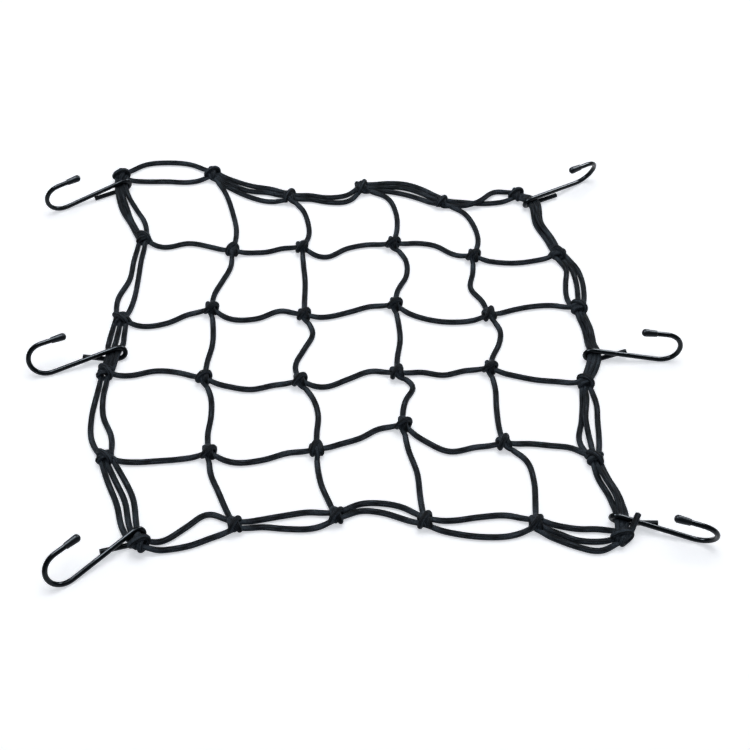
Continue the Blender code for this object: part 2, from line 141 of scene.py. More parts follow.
# How far each cord bows to its left at a quarter, half and three quarters of the way.
# Cords in rows run from left to right, so a positive bow is away from the viewer.
ROW_BOWS = (
    ((-5, 5, 4), (-1, -1, 3), (-12, -1, 3), (8, 9, 1), (-6, -8, -5)),
    ((-10, -9, -1), (-9, -6, 6), (-3, 0, 4), (-9, -12, -9), (6, 9, 8)),
    ((1, 8, 7), (-6, -9, -3), (-7, 0, 7), (2, -3, 1), (-2, -3, -1)),
    ((-4, -4, -3), (-9, -7, 0), (1, 1, 5), (-11, -17, -7), (6, 8, 9)),
)
# Cords in columns run from far to near, so a positive bow is to the right.
COLUMN_BOWS = (
    ((8, 10, 9), (3, 0, -3), (3, 4, 1), (5, 4, 0), (-4, -3, -2)),
    ((10, 12, 10), (1, 2, 1), (9, 2, -5), (8, 9, 4), (-3, -4, -2)),
    ((20, 20, 13), (12, 12, 3), (3, 4, 1), (13, 5, 1), (0, 3, 1)),
    ((16, 18, 14), (-4, -10, -2), (10, 9, 3), (2, 0, -1), (14, 13, 7)),
)

# Border cords, innermost first. Each has its bow to its left at the start, a quarter,
# half, three quarters and the end, and its height over the others at the middle three.
BORDER = {
    "far": (
        (((-3, -6, -7, -9, -3), (0, 0, 0)), ((3, 20, 22, 18, 3), (0, 0, 0))),
        (((-4, -9, -13, -13, -5), (0, 0, 0)), ((0, -4, -6, 0, 0), (0, 0, 0)),
         ((4, 2, 2, 6, 5), (0, 0, 0))),
        (((-3, -4, -12, -15, -3), (0, 0, 0)), ((3, 2, -5, -6, 3), (0, 0, 0))),
        (((-5, 3, 4, 1, -5), (0, 0, 0)), ((0, 9, 13, 9, 0), (0, 0, 0)),
         ((5, 15, 19, 15, 5), (0, 0, 0))),
        (((-3, -8, -6, 10, 3), (2, 5, 0)), ((3, 0, -5, -6, -3), (0, 0, 0))),
    ),
    "left": (
        (((5, 2, 3, 7, 4), (0, 0, 0)), ((0, -3, -5, -5, 0), (0, 0, 5)),
         ((-5, -9, -10, -6, -4), (0, 0, 0))),
        (((3, 3, 5, 6, 3), (0, 0, 0)), ((-3, -4, -3, -9, -5), (0, 0, 0))),
        (((5, 6, 8, 11, 5), (0, 0, 0)), ((0, 0, 1, 3, 0), (0, 0, 0)),
         ((-5, -6, -5, -4, -5), (0, 0, 0))),
        (((3, -2, -2, 5, 5), (0, 0, 0)), ((-3, -8, -12, -12, -3), (0, 0, 0))),
        (((5, 8, 9, 4, 3), (0, 0, 0)), ((0, 1, 2, -2, 0), (0, 0, 0)),
         ((-4, -5, -5, -8, -3), (0, 0, 0))),
    ),
    "near": (
        (((3, 2, 10, 18, 3), (0, 0, 0)), ((-3, -7, -8, -5, -3), (0, 0, 0))),
        (((3, 5, 7, 8, 3), (0, 0, 0)), ((-3, -2, -6, -8, -3), (0, 0, 0))),
        (((3, 15, 17, 14, 3), (0, 0, 0)), ((-3, 8, 8, 3, -3), (0, 0, 0))),
        (((3, 3, 7, 9, 3), (0, 0, 0)), ((-3, -9, -12, -11, -3), (0, 0, 0))),
        (((5, 3, 3, 6, 5), (0, 0, 0)), ((0, -4, -8, -6, 0), (0, 0, 0)),
         ((-5, -10, -14, -15, -4), (0, 0, 0))),
    ),
    "right": (
        (((-3, 7, 0, 0, -3), (0, 0, 0)), ((0, 10, 3, 3, 0), (4, 5, 5)),
         ((3, 13, 6, 6, 3), (0, 0, 0))),
        (((-5, 3, -2, -6, -5), (0, 0, 0)), ((0, 8, 8, 5, 0), (0, 0, 0)),
         ((5, 13, 14, 11, 5), (0, 0, 0))),
        (((-3, 4, 6, 4, -3), (0, 0, 0)), ((0, 7, 9, 7, 0), (5, 0, 5)),
         ((3, 10, 12, 10, 3), (0, 0, 0))),
        (((-3, -4, -7, -11, -3), (0, 0, 0)), ((0, -1, -4, -2, 0), (5, 5, 1)),
         ((3, 8, 7, 6, 3), (0, 0, 0))),
        (((-3, -2, 2, 0, -3), (0, 0, 0)), ((0, 2, 6, 4, 0), (5, 5, 3)),
         ((3, 6, 10, 7, 3), (0, 0, 0))),
    ),
}

# A short cut end of cord leaves the last knot and rests over a hook (x, y, height)
LOOSE_END = ((222, -213, 6.5), (227, -209, 10.5), (230.5, -203, 15.0), (234.5, -195, 16.4))

# Hooks: the middle of the wire at the eye's round end, where the shank heads, how far
# the hook's plane leans to the left of the heading (0 flat, 90 upright), where the cut
# end lies round the shank (0 left of it, 90 above), and the border span in the eye with
# its first cord's distance from the round end and the distance between its cords.
HOOKS = {
    # name: (x, y, heading, lean, tail, (side, span), first, pitch)
    "far_left": (-225, 211, -154, 88, -80, ("left", 0), 5.2, 4.2),
    "middle_left": (-201, -16, -164, 112, 180, ("left", 2), 7.0, 4.3),
    "near_left": (-162, -207.5, -143, 112, 180, ("left", 4), 5.2, 4.3),
    "far_right": (170.5, 181, 33, 106, -135, ("right", 0), 5.2, 4.1),
    "middle_right": (210.5, -19, 0, 84, 0, ("right", 2), 5.2, 3.8),
    "near_right": (214, -191, -16, 102, 0, ("right", 4), 5.2, 3.8),
}

# How a knot is tied: the tying cord goes round the cords that it holds, over the top
# towards the viewer, crosses over itself and leaves on the other side.
HITCH = (
    # degrees round from the far side, place along the held cords, height over them
    (15, -0.3, 0.0), (50, 0.7, 0.0), (90, 2.1, 0.0), (130, 3.3, -0.1), (175, 4.0, -0.4),
    (225, 3.8, -0.4), (270, 3.4, -0.2), (315, 3.7, -0.3), (360, 4.0, -0.1),
    (402, 3.2, 1.6), (450, 0.0, 3.0), (498, -3.2, 1.6), (540, -4.0, -0.1),
    (585, -3.7, -0.3), (630, -3.4, -0.2), (675, -3.8, -0.4), (725, -4.0, -0.4),
    (770, -3.3, -0.1), (810, -2.1, 0.0), (850, -0.7, 0.0), (885, 0.3, 0.0),
)
# Each knot's own look: the heading of the cords it holds, how far it is rolled towards
# the viewer in degrees, and its size
KNOT_LOOKS = (
    ((-35, 10, 1.12), (-28, 10, 1.05), (0, 0, 1.0), (10, 25, 1.05), (-8, 20, 0.9), (-30, 0, 1.0)),
    ((95, 20, 1.0), (-8, -25, 1.0), (0, 25, 1.02), (-26, 15, 1.08), (-22, 10, 1.05), (70, 10, 1.0)),
    ((90, -20, 1.0), (-15, 30, 1.08), (-8, 10, 1.0), (-25, 12, 1.05), (14, 0, 1.05), (85, 20, 1.05)),
    ((80, 15, 1.1), (-20, -10, 1.05), (-10, 5, 1.06), (5, 0, 1.05), (-25, 20, 1.05), (88, 10, 1.05)),
    ((84, 0, 1.05), (-12, 18, 1.08), (8, -30, 1.05), (-24, 15, 1.1), (12, -5, 1.05), (80, -10, 1.05)),
    ((-30, 10, 1.15), (5, 10, 1.0), (-5, 15, 1.05), (0, -5, 1.05), (-5, 10, 1.0), (-50, 0, 1.15)),
)


# --------------------------------------------------------------- materials

def linear(colour):
    """An sRGB hex colour as linear red, green, blue and full cover."""
    parts = [int(colour[i:i + 2], 16) / 255 for i in (1, 3, 5)]
    return (*(p / 12.92 if p <= 0.04045 else ((p + 0.055) / 1.055) ** 2.4 for p in parts), 1.0)


def new_material(name):
    """A material with only its shader, and its node tree."""
    material = bpy.data.materials.new(name)
    material.use_nodes = True
    return material, material.node_tree, material.node_tree.nodes["Principled BSDF"]


def node(tree, kind, settings=None, links=None):
    """Adds a node, sets its properties or input values, and links other nodes' outputs in."""
    made = tree.nodes.new(kind)
    for key, value in (settings or {}).items():
        if isinstance(key, str) and hasattr(made, key):
            setattr(made, key, value)
        else:
            made.inputs[key].default_value = value
    for key, output in (links or {}).items():
        tree.links.new(output, made.inputs[key])
    return made


def braided_cord():
    """Black elastic cord: a tight braid of polyester yarn round rubber strands.

    Yarn has no mirror gloss. Its soft blue-grey sheen is painted into the colour: painted
    highlights on the yarn tops with painted shade between them, small slanting beads where one
    yarn crosses another, flecks of painted glint where its loose fibres catch the light, and
    paler streaks of painted sheen along the cord. The real sheath has finer yarns, which
    are drawn here as eight each way, or the braid wouldn't show.
    """
    material, tree, shader = new_material("black_braided_elastic_cord")
    place = node(tree, "ShaderNodeUVMap", {"uv_map": "cord"})
    split = node(tree, "ShaderNodeSeparateXYZ", links={0: place.outputs["UV"]})
    # the yarns slant both ways; each meets every second crossing along the cord
    around = node(tree, "ShaderNodeMath", {"operation": "MULTIPLY", 1: YARNS},
                  {0: split.outputs["X"]})
    along = node(tree, "ShaderNodeMath", {"operation": "DIVIDE", 1: 2 * YARN_CROSSING * MM},
                 {0: split.outputs["Y"]})
    waves, across, ends = [], [], []
    for way in ("ADD", "SUBTRACT"):
        slant = node(tree, "ShaderNodeMath", {"operation": way},
                     {0: around.outputs[0], 1: along.outputs[0]})
        swing = node(tree, "ShaderNodeMath", {"operation": "MULTIPLY", 1: 2 * math.pi},
                     {0: slant.outputs[0]})
        waves.append(node(tree, "ShaderNodeMath", {"operation": "SINE"}, {0: swing.outputs[0]}))
        across.append(node(tree, "ShaderNodeMath", {"operation": "ABSOLUTE"},
                           {0: waves[-1].outputs[0]}))
        ends.append(node(tree, "ShaderNodeMath", {"operation": "POWER", 1: 0.4},
                         {0: across[-1].outputs[0]}))
    # each yarn goes over one and under one, and is round where it lies on top
    both = node(tree, "ShaderNodeMath", {"operation": "MULTIPLY"},
                {0: waves[0].outputs[0], 1: waves[1].outputs[0]})
    over = node(tree, "ShaderNodeMath", {"operation": "GREATER_THAN", 1: 0.0},
                {0: both.outputs[0]})
    tops = [
        node(tree, "ShaderNodeMath", {"operation": "MULTIPLY"},
             {0: across[i].outputs[0], 1: ends[1 - i].outputs[0]})
        for i in (0, 1)
    ]
    height = node(tree, "ShaderNodeMix", {"data_type": "FLOAT"},
                  {"Factor": over.outputs[0], "A": tops[0].outputs[0], "B": tops[1].outputs[0]})
    coords = node(tree, "ShaderNodeTexCoord")
    # painted glints: flecks of noise lighten the colour where loose fibres catch the light
    painted_fibre_glints = node(tree, "ShaderNodeTexNoise", {"Scale": PAINTED_GLINT_FLECKS / MM, "Detail": 2.0},
                {"Vector": coords.outputs["Object"]})
    # painted sheen: streaks about 2 mm wide and one or two centimetres long, without a seam round the
    # cord
    angle = node(tree, "ShaderNodeMath", {"operation": "MULTIPLY", 1: 2 * math.pi},
                 {0: split.outputs["X"]})
    side = node(tree, "ShaderNodeMath", {"operation": "COSINE"}, {0: angle.outputs[0]})
    top = node(tree, "ShaderNodeMath", {"operation": "SINE"}, {0: angle.outputs[0]})
    run = node(tree, "ShaderNodeMath", {"operation": "MULTIPLY", 1: 1 / (PAINTED_SHEEN_STREAK * MM)},
               {0: split.outputs["Y"]})
    skin = node(tree, "ShaderNodeCombineXYZ",
                links={0: side.outputs[0], 1: top.outputs[0], 2: run.outputs[0]})
    streaks = node(tree, "ShaderNodeTexNoise", {"Scale": 1.6, "Detail": 1.0},
                   {"Vector": skin.outputs[0]})
    sheen = node(tree, "ShaderNodeMapRange",
                 {"From Min": 0.35, "From Max": 0.65, "To Min": 0.2, "To Max": 1.9},
                 {"Value": streaks.outputs["Fac"]})
    flecks = node(tree, "ShaderNodeMath", {"operation": "MULTIPLY"},
                  {0: sheen.outputs["Result"], 1: painted_fibre_glints.outputs["Fac"]})
    painted_light_mix = node(tree, "ShaderNodeMath", {"operation": "MULTIPLY"},
                 {0: height.outputs["Result"], 1: flecks.outputs[0]})
    # painted light: the colour runs from near black between the yarns, a painted shade, to blue-grey
    # on their tops, a painted highlight
    colour = node(tree, "ShaderNodeMix", {"data_type": "RGBA", "A": linear("#020304"),
                  "B": linear("#5a6571")}, {"Factor": painted_light_mix.outputs[0]})
    bump = node(tree, "ShaderNodeBump", {"Strength": 0.7, "Distance": 0.3 * MM},
                {"Height": height.outputs["Result"]})
    tree.links.new(colour.outputs["Result"], shader.inputs["Base Color"])
    tree.links.new(bump.outputs["Normal"], shader.inputs["Normal"])
    shader.inputs["Roughness"].default_value = 0.5
    shader.inputs["Specular IOR Level"].default_value = 0.04
    return material


def dipped_wire():
    """Steel wire dipped in molten black plastic, which sets smooth and a little uneven.

    It is glossy, with long glints that wander slightly and dull a little here and there.
    """
    material, tree, shader = new_material("black_dipped_steel_wire")
    coords = node(tree, "ShaderNodeTexCoord")
    waves = node(tree, "ShaderNodeTexNoise", {"Scale": 1 / (COAT_WAVE * MM), "Detail": 1.0},
                 {"Vector": coords.outputs["Object"]})
    rough = node(tree, "ShaderNodeMapRange", {"To Min": 0.15, "To Max": 0.23},
                 {"Value": waves.outputs["Fac"]})
    bump = node(tree, "ShaderNodeBump", {"Strength": 0.12, "Distance": 0.3 * MM},
                {"Height": waves.outputs["Fac"]})
    tree.links.new(rough.outputs["Result"], shader.inputs["Roughness"])
    tree.links.new(bump.outputs["Normal"], shader.inputs["Normal"])
    shader.inputs["Base Color"].default_value = linear("#030507")
    shader.inputs["Specular IOR Level"].default_value = 0.22
    shader.inputs["Specular Tint"].default_value = linear("#dcebfa")
    return material


def soft_sleeve():
    """Moulded soft plastic sleeve: its satin surface spreads a glint into a soft patch."""
    material, tree, shader = new_material("black_soft_plastic_sleeve")
    coords = node(tree, "ShaderNodeTexCoord")
    grain = node(tree, "ShaderNodeTexNoise", {"Scale": SLEEVE_GRAIN / MM, "Detail": 2.0},
                 {"Vector": coords.outputs["Object"]})
    bump = node(tree, "ShaderNodeBump", {"Strength": 0.15, "Distance": 0.1 * MM},
                {"Height": grain.outputs["Fac"]})
    tree.links.new(bump.outputs["Normal"], shader.inputs["Normal"])
    shader.inputs["Base Color"].default_value = linear("#07090c")
    shader.inputs["Roughness"].default_value = 0.36
    shader.inputs["Specular IOR Level"].default_value = 0.26
    shader.inputs["Specular Tint"].default_value = linear("#dcebfa")
    return material


def white_board():
    """The plain white board that the net lies on: matt, and lit from within like a light table."""
    material, _, shader = new_material("white_matt_board")
    shader.inputs["Base Color"].default_value = linear("#f7f7f8")
    shader.inputs["Roughness"].default_value = 0.9
    shader.inputs["Emission Color"].default_value = linear("#f7faff")
    shader.inputs["Emission Strength"].default_value = 0.55
    shader.inputs["Specular IOR Level"].default_value = 0.1
    return material


# --------------------------------------------------------------- cord and wire

def smooth(share):
    """Eases from 0 to 1 as share goes from 0 to 1."""
    share = min(max(share, 0.0), 1.0)
    return share * share * (3 - 2 * share)


def knot_middle(row, column):
    """The middle of a knot."""
    right, away = KNOT_DRIFT[row][column]
    x = (column - 2.5) * PITCH + (row - 2.5) * LEAN + right - CENTRE[0]
    y = (2.5 - row) * PITCH + away - CENTRE[1]
    return Vector((x, y, KNOT_HEIGHT + KNOT_RAISED.get((row, column), 0.0)))


class Curve:
    """A smooth curve through points, read by the length along it."""

    FINE = 16

    def __init__(self, points):
        self.points = []
        slopes = [self.slope(points, i) for i in range(len(points))]
        for i in range(len(points) - 1):
            chord = (points[i + 1] - points[i]).length
            for step in range(self.FINE + (i == len(points) - 2)):
                t = step / self.FINE
                self.points.append(
                    points[i] * (1 + 2 * t) * (1 - t) ** 2
                    + slopes[i] * chord * t * (1 - t) ** 2
                    + points[i + 1] * t * t * (3 - 2 * t)
                    + slopes[i + 1] * chord * t * t * (t - 1)
                )
        self.lengths = [0.0]
        for a, b in zip(self.points, self.points[1:]):
            self.lengths.append(self.lengths[-1] + (b - a).length)
        self.length = self.lengths[-1]

    @staticmethod
    def slope(points, i):
        """The curve's direction at a point, which follows the nearer neighbour more."""
        before = points[max(i - 1, 0)]
        after = points[min(i + 1, len(points) - 1)]
        back = points[i] - before
        ahead = after - points[i]
        if back.length == 0 or ahead.length == 0:
            return (after - before).normalized()
        return (back / back.length ** 2 + ahead / ahead.length ** 2).normalized()

    def at(self, length):
        """The point at a length along the curve."""
        i = 0
        while i < len(self.lengths) - 2 and self.lengths[i + 1] < length:
            i += 1
        share = (length - self.lengths[i]) / (self.lengths[i + 1] - self.lengths[i])
        return self.points[i].lerp(self.points[i + 1], share)

    def even(self, step):
        """Points along the curve, evenly spaced."""
        count = max(2, round(self.length / step))
        return [self.at(self.length * i / count) for i in range(count + 1)]


def relaxed(points, passes):
    """The points with their corners eased, as wire or cord bends; the ends stay."""
    for _ in range(passes):
        points = [points[0]] + [
            (a + b * 2 + c) / 4 for a, b, c in zip(points, points[1:], points[2:])
        ] + [points[-1]]
    return points


def ring(place, across, along, width, height):
    """What turns a unit circle into a cross-section at a place."""
    turn = Matrix((across, across.cross(along), along)).transposed().to_4x4()
    return Matrix.Translation(place) @ turn @ Matrix.Diagonal((width, height, 1.0, 1.0))


def start_ring(mesh, sides, first):
    """The closed first end of a tube: its vertices in order, and its edges."""
    circle = bmesh.ops.create_circle(mesh, cap_ends=True, segments=sides, radius=1.0, matrix=first)
    edges = dict.fromkeys(edge for vertex in circle["verts"] for edge in vertex.link_edges)
    return circle["verts"], list(edges)


def next_ring(mesh, edges, before, after):
    """Extrudes a ring of edges and moves it: all that it made, its vertices and its edges."""
    made = bmesh.ops.extrude_edge_only(mesh, edges=edges)["geom"]
    fresh = dict.fromkeys(item for item in made if isinstance(item, bmesh.types.BMVert))
    bmesh.ops.transform(mesh, matrix=after @ before.inverted(), verts=list(fresh))
    edges = [
        item for item in made
        if isinstance(item, bmesh.types.BMEdge) and all(v in fresh for v in item.verts)
    ]
    return made, fresh, edges


def tube(mesh, points, sides, widths, heights=None):
    """A closed tube along points, with a UV map: the share around and the length in metres."""
    heights = heights or widths
    uv = mesh.loops.layers.uv.get("cord") or mesh.loops.layers.uv.new("cord")
    across = None
    rings = []
    for i, place in enumerate(points):
        along = (points[min(i + 1, len(points) - 1)] - points[max(i - 1, 0)]).normalized()
        if across is None:
            across = along.cross(Vector((0, 0, 1)))
        across = (across - along * across.dot(along)).normalized()
        rings.append(ring(place, across, along, widths[i], heights[i]))
    first, edges = start_ring(mesh, sides, rings[0])
    corner = {vertex: i for i, vertex in enumerate(first)}
    length = 0.0
    for i in range(1, len(rings)):
        made, fresh, edges = next_ring(mesh, edges, rings[i - 1], rings[i])
        for vertex in fresh:
            old = [e.other_vert(vertex) for e in vertex.link_edges]
            corner[vertex] = next(corner[v] for v in old if v not in fresh and v in corner)
        before = length
        length += (points[i] - points[i - 1]).length * MM
        for face in (item for item in made if isinstance(item, bmesh.types.BMFace)):
            wraps = {corner[v] for v in face.verts} == {0, sides - 1}
            for item in face.loops:
                place = corner[item.vert]
                share = 1.0 if wraps and place == 0 else place / sides
                item[uv].uv = (share, length if item.vert in fresh else before)
    bmesh.ops.contextual_create(mesh, geom=edges)


def add_object(mesh, name, material):
    """Puts a mesh in the scene, as an object at the origin."""
    data = bpy.data.meshes.new(name)
    mesh.to_mesh(data)
    mesh.free()
    data.materials.append(material)
    thing = bpy.data.objects.new(name, data)
    bpy.context.scene.collection.objects.link(thing)
    return thing


def finished(mesh, name, material, sharp=40):
    """Turns a mesh in millimetres into a smooth object in metres that rides on the part."""
    bmesh.ops.recalc_face_normals(mesh, faces=mesh.faces)
    bmesh.ops.scale(mesh, vec=(MM, MM, MM), verts=mesh.verts)
    thing = add_object(mesh, name, material)
    thing.data.shade_smooth()
    thing.data.set_sharp_from_angle(angle=math.radians(sharp))
    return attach(thing, "root")


# --------------------------------------------------------------- hooks

class Hook:
    """Where one hook's wire runs."""

    def __init__(self, x, y, heading, lean, tail, span, first, pitch):
        self.start = Vector((x - CENTRE[0], y - CENTRE[1], WIRE / 2))
        self.out = Matrix.Rotation(math.radians(heading), 3, "Z") @ Vector((1, 0, 0))
        self.left = Vector((-self.out.y, self.out.x, 0))
        self.rise = self.tilted(lean)
        self.tail = self.tilted(tail)
        self.span = span
        self.first = first
        self.pitch = pitch

    def tilted(self, angle):
        """A direction square to the heading, so far round from its left."""
        angle = math.radians(angle)
        return self.left * math.cos(angle) + Vector((0, 0, math.sin(angle)))

    def place(self, along, rise):
        """A point in the hook's plane."""
        return self.start + self.out * along + self.rise * rise

    def shank_rise(self, along):
        """How far the shank's middle is from the hook's lower line."""
        return EYE_HEIGHT * (SHANK - along) / (SHANK - EYE_HEIGHT / 2)

    def cut(self):
        """The middle of the wire's cut end, next to the shank."""
        return self.place(EYE_LENGTH, self.shank_rise(EYE_LENGTH)) + self.tail * TAIL

    def crossing(self, turn):
        """Where a cord's middle passes the eye, and half the height left for it."""
        along = self.first + self.pitch * turn
        over = self.place(along, self.shank_rise(along))
        share = max(0.0, along - EYE_FLAT) / (EYE_LENGTH - EYE_FLAT)
        under = self.place(along, 0.0) + (self.cut() - self.place(EYE_LENGTH, 0.0)) * share
        room = (over.z - under.z) / 2 - (WIRE / 2 + EYE_PLAY) * self.rise.z
        return (over + under) / 2, min(CORD / 2, room)

    def wire(self):
        """The wire's middle line, from the eye's cut end to the end inside the tip."""
        radius = EYE_HEIGHT / 2
        line = [self.cut(), self.place(EYE_FLAT, 0.0)]
        for step in range(EYE_STEPS + 1):
            turn = math.pi * step / EYE_STEPS
            ahead = radius * (1 - math.sin(turn))
            line.append(self.place(ahead, radius * (1 - math.cos(turn))))
        slope = math.atan2(EYE_HEIGHT, SHANK - radius)
        foot = self.place(SHANK, BEND_RADIUS * (1 - math.cos(slope)))
        down = (foot - line[-1]).normalized()
        up = (self.rise - down * self.rise.dot(down)).normalized()
        middle = foot + up * BEND_RADIUS
        for step in range(BEND_STEPS + 1):
            turn = math.radians(BEND_SWEEP) * step / BEND_STEPS
            line.append(middle + (down * math.sin(turn) - up * math.cos(turn)) * BEND_RADIUS)
        turn = math.radians(BEND_SWEEP)
        line.append(line[-1] + (down * math.cos(turn) + up * math.sin(turn)) * TIP_LEG)
        return line


def stepped(line, step):
    """Points along a line of straight runs, evenly spaced on each run."""
    points = [line[0]]
    for a, b in zip(line, line[1:]):
        count = max(1, round((b - a).length / step))
        points += [a.lerp(b, i / count) for i in range(1, count + 1)]
    return points


def make_hook(name, hook, material):
    """One bent wire with a snipped end."""
    points = relaxed(stepped(hook.wire(), WIRE_STEP), WIRE_EASE)
    widths = [WIRE / 2 - WIRE_SNIP] + [WIRE / 2] * len(points)
    along = (points[1] - points[0]).normalized()
    points = [points[0], points[0] + along * WIRE_SNIP] + points[1:]
    mesh = bmesh.new()
    tube(mesh, points, WIRE_SIDES, widths)
    piece = finished(mesh, name, material)
    return piece


def make_tip(name, hook, material):
    """A soft sleeve pushed on the wire's end, rounded at the closed end."""
    line = hook.wire()
    end = line[-1]
    along = (line[-1] - line[-2]).normalized()
    mouth = TIP_REACH - TIP_LENGTH
    ball = TIP_BALL / 2
    hole = WIRE / 2 + 0.02      # a hair wider than the wire
    # each ring's place past the wire's end and its radius, from inside the mouth outwards
    profile = [(mouth + TIP_HOLLOW, hole), (mouth, hole), (mouth - 0.05, TIP_MOUTH / 2 - 0.3),
               (mouth + TIP_LIP, TIP_MOUTH / 2)]
    shoulder = TIP_REACH - ball * 0.92
    for step in range(1, 7):
        profile.append((mouth + TIP_LIP + (shoulder - mouth - TIP_LIP) * step / 6,
                        TIP_MOUTH / 2 + (ball - TIP_MOUTH / 2) * smooth(step / 6)))
    # the last ring is just short of the pole, and its own face closes it
    for step in range(1, 9):
        turn = math.pi / 2 * step / 8.3
        profile.append((shoulder + (TIP_REACH - shoulder) * math.sin(turn), ball * math.cos(turn)))
    mesh = bmesh.new()
    across = along.cross(Vector((0, 0, 1))).normalized()
    rings = [ring(end + along * place, across, along, radius, radius) for place, radius in profile]
    _, edges = start_ring(mesh, TIP_SIDES, rings[0])
    for before, after in zip(rings, rings[1:]):
        _, _, edges = next_ring(mesh, edges, before, after)
    bmesh.ops.contextual_create(mesh, geom=edges)
    piece = finished(mesh, name, material)
    return piece


# --------------------------------------------------------------- net

def cord_height(length, whole, ends, lifts, eye):
    """The height of a cord's middle at a length along it."""
    near_knot = 1 - smooth(min(length, whole - length) / SETTLE)
    height = LYING + (ends[length > whole / 2] - LYING) * near_knot
    quarter = 4 * length / whole
    steps = (0.0, *lifts, 0.0)
    before = min(int(quarter), 3)
    lift = steps[before] + (steps[before + 1] - steps[before]) * smooth(quarter - before)
    height = max(height, LYING + lift)
    if eye:
        beyond = abs(length - eye["length"]) - EYE_HOLD
        height += (eye["place"].z - height) * (1 - smooth(beyond / EYE_REACH))
    return height


def lay_cord(net, start, end, bows, lifts=(0, 0, 0), eye=None, tied=False):
    """One cord from knot to knot; its ends lie inside the knots, or join their cord."""
    first = Vector((start.x, start.y, 0))
    chord = Vector((end.x, end.y, 0)) - first
    left = Vector((-chord.y, chord.x, 0)).normalized()
    route = [(step / 4, first + chord * step / 4 + left * bow) for step, bow in enumerate(bows)]
    if eye:
        place = Vector((eye["place"].x, eye["place"].y, 0))
        share = (place - first).dot(chord) / chord.length_squared
        # a bow that close to the eye gives way to it, but the knots stay
        route = [item for item in route if abs(item[0] - share) > 0.1 or item[0] in (0, 1)]
        route.append((share, place))
        route.sort(key=lambda item: item[0])
    curve = Curve([point for _, point in route])
    points = curve.even(CORD_STEP)
    step = curve.length / (len(points) - 1)
    if eye:
        away = [(point - place).length for point in points]
        eye["length"] = away.index(min(away)) * step
    widths, heights = [], []
    for i, point in enumerate(points):
        point.z = cord_height(i * step, curve.length, (start.z, end.z), lifts, eye)
        squeeze = 0.0
        if eye:
            squeeze = 1 - smooth((abs(i * step - eye["length"]) - EYE_GRIP / 2) / EYE_GRIP)
        tight = 1 - smooth((min(i * step, curve.length - i * step) - TIGHT) / SWELL)
        round_size = CORD / 2 + (KNOT_CORD - CORD) / 2 * tight
        widths.append(round_size)
        heights.append(round_size + ((eye["height"] - CORD / 2) * squeeze if eye else 0.0))
    points = relaxed(points, CORD_EASE)
    if tied:
        cut = round(KNOT_REACH / step)
        points, widths, heights = (items[cut:-cut] for items in (points, widths, heights))
    add_tube(net, points, CORD_SIDES, widths, heights)
    return points


def add_tube(net, *shape):
    """A tube made by itself, then added to the net."""
    mesh = bmesh.new()
    tube(mesh, *shape)
    data = bpy.data.meshes.new("piece")
    mesh.to_mesh(data)
    mesh.free()
    net.from_mesh(data)
    bpy.data.meshes.remove(data)


def side_knots(side, span):
    """The knots at both ends of a border span."""
    return {
        "far": (knot_middle(0, span), knot_middle(0, span + 1)),
        "left": (knot_middle(span, 0), knot_middle(span + 1, 0)),
        "near": (knot_middle(5, span), knot_middle(5, span + 1)),
        "right": (knot_middle(span, 5), knot_middle(span + 1, 5)),
    }[side]


def lay_border(net, hooks):
    """The two or three cords along each border span; some pass through a hook's eye."""
    held = {hook.span: hook for hook in hooks.values()}
    for side, spans in BORDER.items():
        for span, cords in enumerate(spans):
            start, end = side_knots(side, span)
            for turn, (bows, lifts) in enumerate(cords):
                eye = None
                if (side, span) in held:
                    place, height = held[side, span].crossing(turn)
                    eye = {"place": place, "height": height}
                lay_cord(net, start, end, bows, lifts, eye)


def lay_inner_cords(net):
    """One cord between each pair of neighbours inside the net.

    Gives where each knot's own cord arrives and leaves, and which way it runs there.
    """
    joins = {}
    for row, spans in enumerate(ROW_BOWS, start=1):
        for column, bows in enumerate(spans):
            start, end = knot_middle(row, column), knot_middle(row, column + 1)
            start.z = end.z = KNOT_HIGH + KNOT_CORD / 2 - KNOT_SINK
            points = lay_cord(net, start, end, (0, *bows, 0))
            if column == 0:
                joins[row, 0, "leaves"] = points[round(KNOT_REACH / CORD_STEP)]
            if column == 4:
                joins[row, 5, "arrives"] = points[-1 - round(KNOT_REACH / CORD_STEP)]
    for column, spans in enumerate(COLUMN_BOWS, start=1):
        for row, bows in enumerate(spans):
            start, end = knot_middle(row, column), knot_middle(row + 1, column)
            points = lay_cord(net, start, end, (0, *bows, 0), tied=True)
            joins[row, column, "leaves"] = points[0]
            joins[row + 1, column, "arrives"] = points[-1]
    return joins


def lay_loose_end(net):
    """The cut end that leaves the near right knot, its fibres melted into a hard rim."""
    route = [Vector((x - CENTRE[0], y - CENTRE[1], z)) for x, y, z in LOOSE_END]
    points = Curve(route).even(KNOT_STEP)
    along = (points[-1] - points[-2]).normalized()
    points[-1:] = [points[-1] - along * 0.6, points[-1] - along * 0.3, points[-1]]
    widths = [CORD / 2] * (len(points) - 2) + [CORD / 2 * 0.96, CORD / 2 * 0.8]
    add_tube(net, points, CORD_SIDES, widths)


